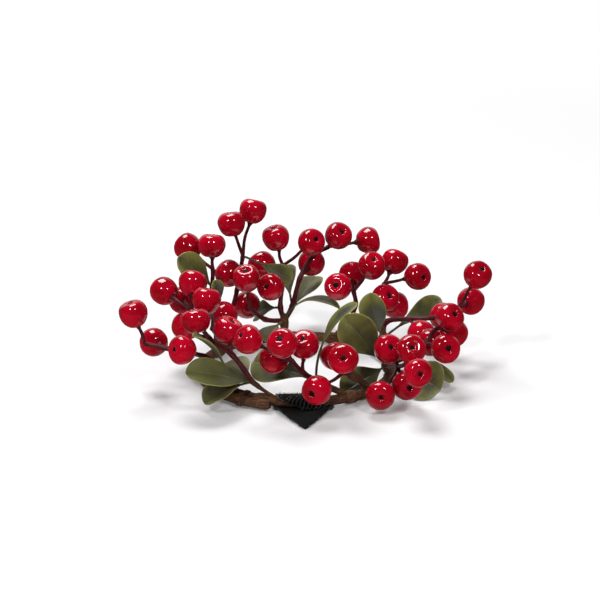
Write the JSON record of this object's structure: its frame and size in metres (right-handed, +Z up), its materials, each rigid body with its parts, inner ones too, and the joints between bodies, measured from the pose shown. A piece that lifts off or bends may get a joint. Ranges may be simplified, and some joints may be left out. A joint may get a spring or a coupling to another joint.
{
  "type": "candle ring",
  "caption": "Wrapped wire ring with sprays of glossy red berries and green leaves round an open middle for a pillar candle, and a black strap at the front.",
  "frame": {"origin": "centre of the ring, on the table it lies on", "axes": "+Z up, +X to the right seen from the front, -Y to the front with the strap"},
  "size_m": [0.1561, 0.131, 0.0639],
  "materials": {
    "wire": "drawn",
    "paper_tape": "wound paper tape",
    "strap": "ribbed weave",
    "twig": "satin",
    "berry": "lacquered",
    "leaf": "printed satin"
  },
  "bodies": {
    "ring": {"berries_back_low": "berry", "berries_back_mid": "berry", "berries_back_right_mid": "berry", "berries_back_right_out": "berry", "berries_back_tall": "berry", "berries_far_left": "berry", "berries_front": "berry", "berries_front_mid": "berry", "berries_front_right": "berry", "berries_left_back": "berry", "berries_left_low": "berry", "berries_left_rise": "berry", "berries_left_tall": "berry", "berries_right_long": "berry", "berries_right_short": "berry", "leaf_back_curl": "leaf", "leaf_back_first_pair": "leaf", "leaf_back_inner": "leaf", "leaf_back_small": "leaf", "leaf_front_left_big_pair": "leaf", "leaf_front_left_inner": "leaf", "leaf_front_left_rise": "leaf", "leaf_front_low": "leaf", "leaf_front_rise": "leaf", "leaf_left_arch": "leaf", "leaf_left_top_pair": "leaf", "leaf_right_inner": "leaf", "leaf_right_low_pair": "leaf", "leaf_right_out": "leaf", "leaf_right_rise": "leaf", "leaf_right_round": "leaf", "ring_wire": "wire", "ring_wrap": "paper_tape", "stem_back": "paper_tape", "stem_back_right": "paper_tape", "stem_front": "paper_tape", "stem_front_left": "paper_tape", "stem_front_mid": "paper_tape", "stem_front_right": "paper_tape", "stem_left": "paper_tape", "stem_right": "paper_tape", "strap_wrap": "strap", "tape_bindings": "paper_tape", "twig_back_low": "twig", "twig_back_mid": "twig", "twig_back_right_mid": "twig", "twig_back_right_out": "twig", "twig_back_tall": "twig", "twig_far_left": "twig", "twig_front": "twig", "twig_front_mid": "twig", "twig_front_right": "twig", "twig_left_back": "twig", "twig_left_low": "twig", "twig_left_rise": "twig", "twig_left_tall": "twig", "twig_right_long": "twig", "twig_right_short": "twig"},
    "strap_tongue": {"strap_tongue": "strap"}
  },
  "joints": [
    {"name": "strap_lift", "type": "hinge", "parent": "ring", "child": "strap_tongue", "pos_m": [0.00167, -0.04777, 0.00045], "axis": [-0.9994, -0.0349, 0], "range_deg": [0, 40]}
  ]
}
